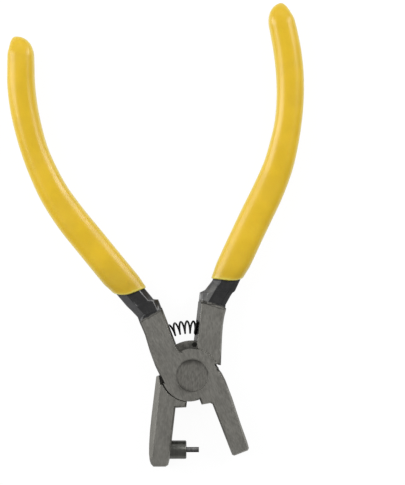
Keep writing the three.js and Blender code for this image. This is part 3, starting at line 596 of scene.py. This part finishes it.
pin = turned_piece("punch_pin_ground", [
    (0, PIN_HEAD_END - PIN_HEAD_LENGTH),
    (PIN_HEAD, PIN_HEAD_END - PIN_HEAD_LENGTH),
    (PIN_HEAD, PIN_HEAD_END),
    (PIN_RADIUS, PIN_HEAD_END),
    (PIN_RADIUS, PIN_TIP - PIN_EASE),
    (PIN_RADIUS - PIN_EASE, PIN_TIP),
    (0, PIN_TIP),
], 48, PUNCH_PLACE)
fit(pin, turned_steel("pin_steel", (0.17, 0.17, 0.166, 1), (0.3, 0.3, 0.293, 1),
                      rough=0.2, pitch=0.0002, side_shade=(1.0, -0.7, 0.1)),
    "punch_pin", "rear_half")

# Back screw: a slotted grub screw, set flush in the outer side of the punch jaw. It takes the thrust
# of the punch.

UNSHADED = (0, -0.95, -0.7)  # as turned_steel takes its painted shade, but none of it

fit(eased_copy("punch_back_screw", "punch_back_screw_slotted"),
    turned_steel("screw_steel", (0.035, 0.035, 0.034, 1), (0.07, 0.07, 0.067, 1),
                 rough=0.38, pitch=0.00025, side_shade=UNSHADED),
    "punch_back_screw", "rear_half")

# Return spring: one thin black wire coiled by hand round a rod, with each end sunk in a blind hole in
# a shank. It lies in an arc between them and pushes the handles open.

WIRE = 0.0006
COIL_RADIUS = 0.00178
SEAT_CURLS, OPEN_CURLS = 2.0, 4.3
CURL_STEPS, ARC_STEPS = 28, 32  # pieces in one curl, and in the arc from mouth to mouth
SPRING_SLOPE = tan(radians(8))
SEAT_INSET = 0.00235  # how deep the spring sits in each shank
SEAT_STAND = 0.0002  # how much less deep in the rear one


def shape_tree(name, sizes):
    """A shape made of nodes along a line, with a named input for each size."""
    tree = bpy.data.node_groups.new(name, "GeometryNodeTree")
    tree.interface.new_socket("Line", in_out="INPUT", socket_type="NodeSocketGeometry")
    for size in sizes:
        tree.interface.new_socket(size, in_out="INPUT", socket_type="NodeSocketFloat")
    tree.interface.new_socket("Finish", in_out="INPUT", socket_type="NodeSocketMaterial")
    tree.interface.new_socket("Shape", in_out="OUTPUT", socket_type="NodeSocketGeometry")
    layout = Layout(tree)
    return tree, layout, layout.node("NodeGroupInput").outputs


def end_tree(layout, given, shape):
    """Ends a tree with real faces that carry their material."""
    merged = layout.node("GeometryNodeMergeByDistance", {"Geometry": shape, "Distance": MERGED}).outputs[0]
    smooth = layout.node("GeometryNodeSetShadeSmooth", {"Geometry": merged}).outputs[0]
    real = layout.node("GeometryNodeRealizeInstances", {"Geometry": smooth}).outputs[0]
    coated = layout.node("GeometryNodeSetMaterial", {"Geometry": real, "Material": given["Finish"]})
    layout.node("NodeGroupOutput", {"Shape": coated.outputs[0]})


def shaped_along(name, tree, points, sizes, finish, widths=None):
    """Runs a shape's tree along a line of points and keeps the mesh, with its faces outwards."""
    mesh = bpy.data.meshes.new(name)
    mesh.from_pydata(points, [(k, k + 1) for k in range(len(points) - 1)], [])
    if widths:
        mesh.attributes.new("width", "FLOAT", "POINT").data.foreach_set("value", widths)
    host = in_scene(name, mesh)
    modifier = host.modifiers.new("shape", "NODES")
    modifier.node_group = tree
    given = {**sizes, "Finish": finish}
    for socket in tree.interface.items_tree:
        if socket.name in given:
            modifier[socket.identifier] = given[socket.name]
    piece = plain_mesh(host)
    work = bmesh.new()
    work.from_mesh(piece.data)
    bmesh.ops.recalc_face_normals(work, faces=work.faces)
    work.to_mesh(piece.data)
    work.free()
    return piece


def spring_shape():
    """The wire: wound tight in each seat and open between them, round a line that rises."""
    tree, layout, given = shape_tree("coiled_wire", (
        "Wire", "Radius", "Seat Curls", "Open Curls", "Inset", "Slope", "Level"))
    line = layout.node("GeometryNodeMeshToCurve", {"Mesh": given["Line"]}).outputs[0]
    length = layout.node("GeometryNodeCurveLength", {"Curve": line}).outputs[0]
    curls = layout.plus(layout.times(given["Seat Curls"], 2), given["Open Curls"])
    count = layout.plus(layout.times(curls, CURL_STEPS), 1)
    wire = layout.node("GeometryNodeMeshLine", {"Count": count}).outputs[0]
    index = layout.node("GeometryNodeInputIndex").outputs[0]
    turn = layout.ratio(index, CURL_STEPS)
    seat = layout.ratio(given["Inset"], length)
    middle = layout.minus(1, layout.times(seat, 2))
    after = layout.plus(given["Seat Curls"], given["Open Curls"])
    share = layout.plus(layout.step(turn, 0, given["Seat Curls"], 0, seat, "LINEAR"),
                        layout.plus(layout.step(turn, given["Seat Curls"], after, 0, middle, "LINEAR"),
                                    layout.step(turn, after, curls, 0, seat, "LINEAR")))
    sample = layout.node("GeometryNodeSampleCurve", {"Curves": line, "Factor": share},
                         mode="FACTOR", use_all_curves=True)
    run = layout.minus(layout.times(share, length), layout.times(given["Inset"], 0.5))
    height = layout.point(z=layout.plus(layout.times(run, given["Slope"]), given["Level"]))
    tangent = layout.split(sample.outputs["Tangent"])
    along = layout.point(tangent[0], tangent[1], given["Slope"])

    def scaled(direction, amount):
        return layout.node("ShaderNodeVectorMath", {0: direction, "Scale": amount},
                           operation="SCALE").outputs[0]

    sideways = layout.vector("NORMALIZE", layout.vector("CROSS_PRODUCT", (0, 0, 1), along))
    upward = layout.vector("NORMALIZE", layout.vector("CROSS_PRODUCT", along, sideways))
    angle = layout.times(turn, 2 * pi)
    out = scaled(sideways, layout.times(given["Radius"], layout.math("COSINE", angle)))
    down = scaled(upward, layout.times(layout.times(given["Radius"], -1), layout.math("SINE", angle)))
    place = layout.vector("ADD", layout.vector("ADD", sample.outputs["Position"], height),
                          layout.vector("ADD", out, down))
    wound = layout.node("GeometryNodeSetPosition", {"Geometry": wire, "Position": place}).outputs[0]
    path = layout.node("GeometryNodeMeshToCurve", {"Mesh": wound}).outputs[0]
    section = layout.node("GeometryNodeCurvePrimitiveCircle", {
        "Resolution": 10, "Radius": layout.times(given["Wire"], 0.5)}).outputs[0]
    tube = layout.node("GeometryNodeCurveToMesh", {"Curve": path, "Profile Curve": section,
                                                   "Fill Caps": True})
    end_tree(layout, given, tube.outputs[0])
    return tree


def in_front_seat(depth):
    return Matrix.Rotation(HALF_OPEN, 3, "Z") @ Vector((FRONT_SEAT.x - depth, FRONT_SEAT.y, 0))


def in_rear_seat(depth):
    return Matrix.Rotation(-HALF_OPEN, 3, "Z") @ Vector((REAR_SEAT.x + depth - SEAT_STAND, REAR_SEAT.y, 0))


def spring_line():
    """Straight in each seat, with a curve from mouth to mouth that leaves both square to the shank."""
    front, rear = in_front_seat(0), in_rear_seat(0)
    pull = (rear - front).length / 3
    points = [in_front_seat(SEAT_INSET)]
    for k in range(ARC_STEPS + 1):
        t = k / ARC_STEPS
        points.append(front * (1 - t) ** 3 + in_front_seat(-pull) * 3 * t * (1 - t) ** 2
                      + in_rear_seat(-pull) * 3 * t * t * (1 - t) + rear * t ** 3)
    return points + [in_rear_seat(SEAT_INSET)]


def spring_steel():
    """Thin black wire with a slight drawn gloss."""
    material, layout, shader = new_material("spring_wire")
    place, _ = layout.surface()
    wear = layout.noise(place, (1600, 1600, 1600), 3)
    layout.dress(shader, {
        "Base Color": layout.tint(wear, (0.004, 0.004, 0.004, 1), (0.012, 0.012, 0.0115, 1)),
        "Metallic": 0.3,
        "Specular IOR Level": 0.35,
        "Roughness": layout.step(wear, 0.3, 0.7, 0.34, 0.46),
    })
    return material


run = (in_rear_seat(SEAT_INSET / 2) - in_front_seat(SEAT_INSET / 2)).length
spring = shaped_along("return_spring_wire", spring_shape(), spring_line(), {
    "Wire": WIRE, "Radius": COIL_RADIUS, "Seat Curls": SEAT_CURLS, "Open Curls": OPEN_CURLS,
    "Inset": SEAT_INSET, "Slope": SPRING_SLOPE, "Level": REAR_SEAT.z - run * SPRING_SLOPE,
}, spring_steel())
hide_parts("return_spring")
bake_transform(spring)

# Grips: yellow PVC, dipped hot over each tang. The coat is soft and a little glossy, thins towards
# the dip's edge, and closes over the tip in a dome.

HANDLE_LENGTH, HANDLE_BOW, HANDLE_DRIFT = 0.114, 0.0198, 0.0009
GRIP_WIDTH, GRIP_THICKNESS = 0.0096, 0.0092
CUT_END, LIP_END, DOME_START = 0.03, 0.09, 0.84  # shares of the rows from mouth to tip
TIP_LEAN = {"left_grip": -0.0008, "right_grip": 0.0}  # the left one's dome hangs a little outwards
HANDLE_STATIONS = (  # along, bow, drift and width, each as a share of its size
    (0.2588, 0.371, -0.51, 0.985), (0.276, 0.404, -0.52, 0.99), (0.32, 0.489, -0.55, 1),
    (0.377, 0.597, -0.53, 1), (0.437, 0.712, -0.45, 1), (0.5, 0.833, -0.3, 0.985),
    (0.57, 0.937, -0.1, 0.932), (0.632, 0.983, 0.06, 0.885), (0.693, 1, 0.24, 0.845),
    (0.754, 0.98, 0.42, 0.85), (0.816, 0.929, 0.55, 0.865), (0.873, 0.85, 0.68, 0.865),
    (0.921, 0.757, 0.87, 0.85), (0.965, 0.672, 0.95, 0.823), (1, 0.66, 1, 0.823),
)


def grip_shape():
    """A squarish sleeve along the handle, from the dip's edge to its domed tip."""
    tree, layout, given = shape_tree("dipped_grip", (
        "Thickness", "Squareness", "Dome", "Dome Point", "Tip Lean", "Lip", "Thinning",
        "Thinned Length", "Dip Line", "Dip Turn", "Dip Turn Radius", "Dip Slope", "Dip Reach"))
    points = layout.node("GeometryNodeMeshToCurve", {"Mesh": given["Line"]}).outputs[0]
    curved = layout.node("GeometryNodeCurveSplineType", {"Curve": points}, spline_type="CATMULL_ROM")
    line = layout.node("GeometryNodeResampleCurve", {"Curve": curved.outputs[0], "Count": 240}).outputs[0]
    length = layout.node("GeometryNodeCurveLength", {"Curve": line}).outputs[0]
    sheet = layout.node("GeometryNodeMeshGrid", {"Size X": 1.0, "Size Y": 1.0,
                                                 "Vertices X": 57, "Vertices Y": 141}).outputs[0]
    flat = layout.split(layout.node("GeometryNodeInputPosition").outputs[0])
    angle = layout.times(layout.plus(flat[0], 0.5), 2 * pi)
    way = layout.plus(flat[1], 0.5)

    # the way along the grip: its cut end, the rolled lip, the handle and the dome
    rolled = layout.times(layout.step(way, CUT_END, LIP_END, shape="LINEAR"), pi / 2)
    domed = layout.times(layout.step(way, DOME_START, 1.0, shape="LINEAR"), pi / 2)
    straight = layout.minus(length, layout.plus(given["Dome"], given["Lip"]))
    lip_run = layout.times(given["Lip"], layout.minus(1, layout.math("COSINE", rolled)))
    dome_run = layout.times(given["Dome"], layout.math("SINE", domed))
    reach = layout.plus(layout.plus(lip_run, dome_run),
                        layout.step(way, LIP_END, DOME_START, 0, straight, "LINEAR"))
    width = layout.node("GeometryNodeInputNamedAttribute", {"Name": "width"}).outputs[0]
    sample = layout.node("GeometryNodeSampleCurve", {"Curves": line, "Length": reach, "Value": width},
                         mode="LENGTH", use_all_curves=True)

    # the section, which thins towards the lip and shrinks to a point at both ends
    rolled_off = layout.times(given["Lip"], layout.minus(1, layout.math("SINE", rolled)))
    thinned = layout.step(reach, 0, given["Thinned Length"], given["Thinning"], 0)
    lost = layout.plus(rolled_off, thinned)
    narrowed = layout.math("POWER", layout.math("COSINE", domed), given["Dome Point"])
    shrink = layout.times(narrowed, layout.step(way, 0, CUT_END, shape="LINEAR"))
    across, upward = layout.math("COSINE", angle), layout.math("SINE", angle)
    square = given["Squareness"]
    squared = layout.plus(layout.math("POWER", layout.absolute(across), square),
                          layout.math("POWER", layout.absolute(upward), square))
    swell = layout.times(layout.math("POWER", squared, layout.ratio(-1, square)), shrink)
    half_width = layout.minus(layout.times(sample.outputs["Value"], 0.5), lost)
    half_depth = layout.minus(layout.times(given["Thickness"], 0.5), lost)
    side = layout.times(layout.times(across, swell), half_width)
    level = layout.times(layout.times(upward, swell), half_depth)
    tangent = layout.split(sample.outputs["Tangent"])
    centre = layout.split(sample.outputs["Position"])
    leaning = layout.times(given["Tip Lean"], layout.minus(1, layout.math("COSINE", domed)))
    x = layout.plus(layout.plus(centre[0], leaning), layout.times(tangent[1], side))
    y = layout.minus(centre[1], layout.times(tangent[0], side))
    z = layout.plus(centre[2], level)

    # near the mouth, each point slides along the handle so that the lip lies on the dip's edge
    beyond = layout.math("SMOOTH_MAX", layout.minus(layout.absolute(x), given["Dip Turn"]), 0,
                         given["Dip Turn Radius"])
    edge = layout.plus(given["Dip Line"], layout.times(beyond, given["Dip Slope"]))
    lean = layout.times(layout.times(layout.absolute(tangent[0]), given["Dip Slope"]),
                       layout.math("GREATER_THAN", beyond, 0))
    slide = layout.ratio(layout.minus(edge, y), layout.minus(tangent[1], lean))
    start_gap = layout.ratio(layout.minus(centre[1], given["Dip Line"]), tangent[1])
    slide = layout.times(layout.plus(slide, start_gap), layout.step(reach, 0, given["Dip Reach"], 1, 0))
    x = layout.plus(x, layout.times(tangent[0], slide))
    y = layout.plus(y, layout.times(tangent[1], slide))

    # the rim is marked for its painted highlight while the sheet is still flat
    rim_highlight = layout.times(layout.step(way, 0.02, 0.05), layout.step(way, LIP_END, 0.094, 1, 0))
    marked = layout.node("GeometryNodeStoreNamedAttribute", {
        "Geometry": sheet, "Name": "rim_highlight", "Value": rim_highlight}, data_type="FLOAT", domain="POINT").outputs[0]
    sleeve = layout.node("GeometryNodeSetPosition", {"Geometry": marked, "Position": layout.point(x, y, z)})
    end_tree(layout, given, sleeve.outputs[0])
    return tree


def yellow_vinyl():
    """Soft PVC: even yellow with a trace of cloudiness, fine dimples and rubbed patches. It has a
    painted highlight on its rim and sides, and is darker near the mouth, where the coat is thin over
    black steel."""
    material, layout, shader = new_material("yellow_vinyl")
    place, facing = layout.surface()
    cloud = layout.noise(place, (120, 120, 120), 3)
    dimples = layout.noise(place, (1100, 1100, 1100), 2)
    wear_and_highlight = layout.noise(place, (90, 90, 90), 4)
    coat = layout.tint(layout.step(cloud, 0.35, 0.65), (0.66, 0.422, 0.001, 1), (0.715, 0.46, 0.003, 1))
    # painted highlight: paler where the faces turn sideways
    upright = layout.absolute(layout.split(facing)[2])
    coat = layout.tint(layout.step(upright, 0.15, 0.8, 0.8, 0), coat, (0.7, 0.54, 0.03, 1))
    x, y, _ = layout.split(place)
    height = layout.plus(y, layout.times(x, 0.1))
    coat = layout.tint(layout.step(height, 0.0265, 0.0385, 0.19, 0), coat, (0, 0, 0, 1))
    # painted highlight on the rim at the mouth
    rim_highlight = layout.node("ShaderNodeAttribute", attribute_name="rim_highlight").outputs["Fac"]
    layout.dress(shader, {
        "Base Color": layout.tint(layout.times(rim_highlight, 0.85), coat, (0.7, 0.6, 0.1, 1)),
        "Roughness": layout.step(wear_and_highlight, 0.35, 0.65, 0.3, 0.4),
        "Specular IOR Level": 0.7,
        "Subsurface Weight": 0.08,
        "Subsurface Radius": (0.004, 0.002, 0.0005),
        "Subsurface Scale": 0.3,
    }, (dimples, 0.12, 0.00008))
    return material


grip_tree, vinyl = grip_shape(), yellow_vinyl()
for side, node, body in ((-1, "left_grip", "front_half"), (1, "right_grip", "rear_half")):
    line = [(side * HANDLE_BOW * bow + HANDLE_DRIFT * drift, HANDLE_LENGTH * along, HEAD_THICKNESS / 2)
            for along, bow, drift, _ in HANDLE_STATIONS]
    grip = shaped_along(node + "_dipped", grip_tree, line, {
        "Thickness": GRIP_THICKNESS, "Squareness": 3.2,
        "Dome": 0.0064, "Dome Point": 1.24, "Tip Lean": TIP_LEAN[node],
        "Lip": 0.0005, "Thinning": 0.00035, "Thinned Length": 0.005,
        "Dip Line": 0.0295, "Dip Turn": 0.01, "Dip Turn Radius": 0.002, "Dip Slope": 0.62,
        "Dip Reach": 0.012,
    }, vinyl, [GRIP_WIDTH * width for *_, width in HANDLE_STATIONS])
    grip.data.transform(Matrix.Rotation(-side * HALF_OPEN, 4, "Z"))
    fit(grip, vinyl, node, body)

# Setting: a plain pale floor, soft light from both sides and above, and a camera that looks straight
# down, as the photograph's does.

FLOOR_HALF = 3
FLOOR_GAP = 0.00005  # below the rear faces
LAMP_AIM = Vector((0.008, 0.039, 0))


def seen(layout):
    """1 for what the camera sees, straight on or in the gloss of a piece."""
    path = layout.node("ShaderNodeLightPath").outputs
    glossy = layout.larger(path["Is Glossy Ray"], path["Is Transmission Ray"])
    return layout.larger(path["Is Camera Ray"], glossy)


def pale_paper():
    """White paper: mostly its own white where it is seen, with the rest left for shadows."""
    material, layout, shader = new_material("pale_paper")
    layout.dress(shader, {"Base Color": (0.9, 0.9, 0.9, 1), "Roughness": 0.9})
    white = layout.node("ShaderNodeEmission", {"Color": (1, 1, 1, 1), "Strength": 1.03})
    share = layout.times(seen(layout), 0.92)
    mixed = layout.node("ShaderNodeMixShader", {0: share, 1: shader.outputs[0], 2: white.outputs[0]})
    layout.feed(material.node_tree.nodes["Material Output"].inputs["Surface"], mixed.outputs[0])
    return material


floor_mesh = bpy.data.meshes.new("floor")
floor_mesh.from_pydata([(x * FLOOR_HALF, y * FLOOR_HALF, -FLOOR_GAP)
                        for x, y in ((-1, -1), (1, -1), (1, 1), (-1, 1))], [], [(0, 1, 2, 3)])
floor_mesh.materials.append(pale_paper())
in_scene("floor", floor_mesh)

world = bpy.data.worlds.new("studio")
world.use_nodes = True
bpy.context.scene.world = world
Layout(world.node_tree).dress(world.node_tree.nodes["Background"], {
    "Color": (1, 1, 1, 1), "Strength": 0.44})


def soft_box(name, place, size, power):
    """A rectangular lamp that faces the middle of the pliers."""
    lamp = bpy.data.lights.new(name, "AREA")
    lamp.shape = "RECTANGLE"
    lamp.size, lamp.size_y = size
    lamp.energy = power
    stand = in_scene(name, lamp)
    stand.location = place
    stand.rotation_euler = (LAMP_AIM - Vector(place)).to_track_quat("-Z", "Y").to_euler()


soft_box("left_box", (-0.8, 0.35, 0.55), (0.45, 1.2), 7.8)
soft_box("right_box", (0.75, 0.4, 0.6), (0.25, 1.0), 5.5)
soft_box("far_box", (0.0, 0.95, 0.55), (1.0, 0.3), 1.0)

VIEW_TURN = radians(-7.4)
VIEW_CENTRE = (0.0082, 0.0391)
VIEW_HEIGHT = 0.1455  # of the picture, at mid thickness
VIEW_DISTANCE = 1.2

camera = bpy.data.cameras.new("camera")
camera.sensor_fit = "VERTICAL"
camera.sensor_height = 36
camera.lens = camera.sensor_height * (VIEW_DISTANCE - HEAD_THICKNESS / 2) / VIEW_HEIGHT
eye = in_scene("camera", camera)
eye.location = (*VIEW_CENTRE, VIEW_DISTANCE)
eye.rotation_euler = (0, 0, VIEW_TURN)
bpy.context.scene.camera = eye
bpy.context.scene.view_settings.view_transform = "Standard"
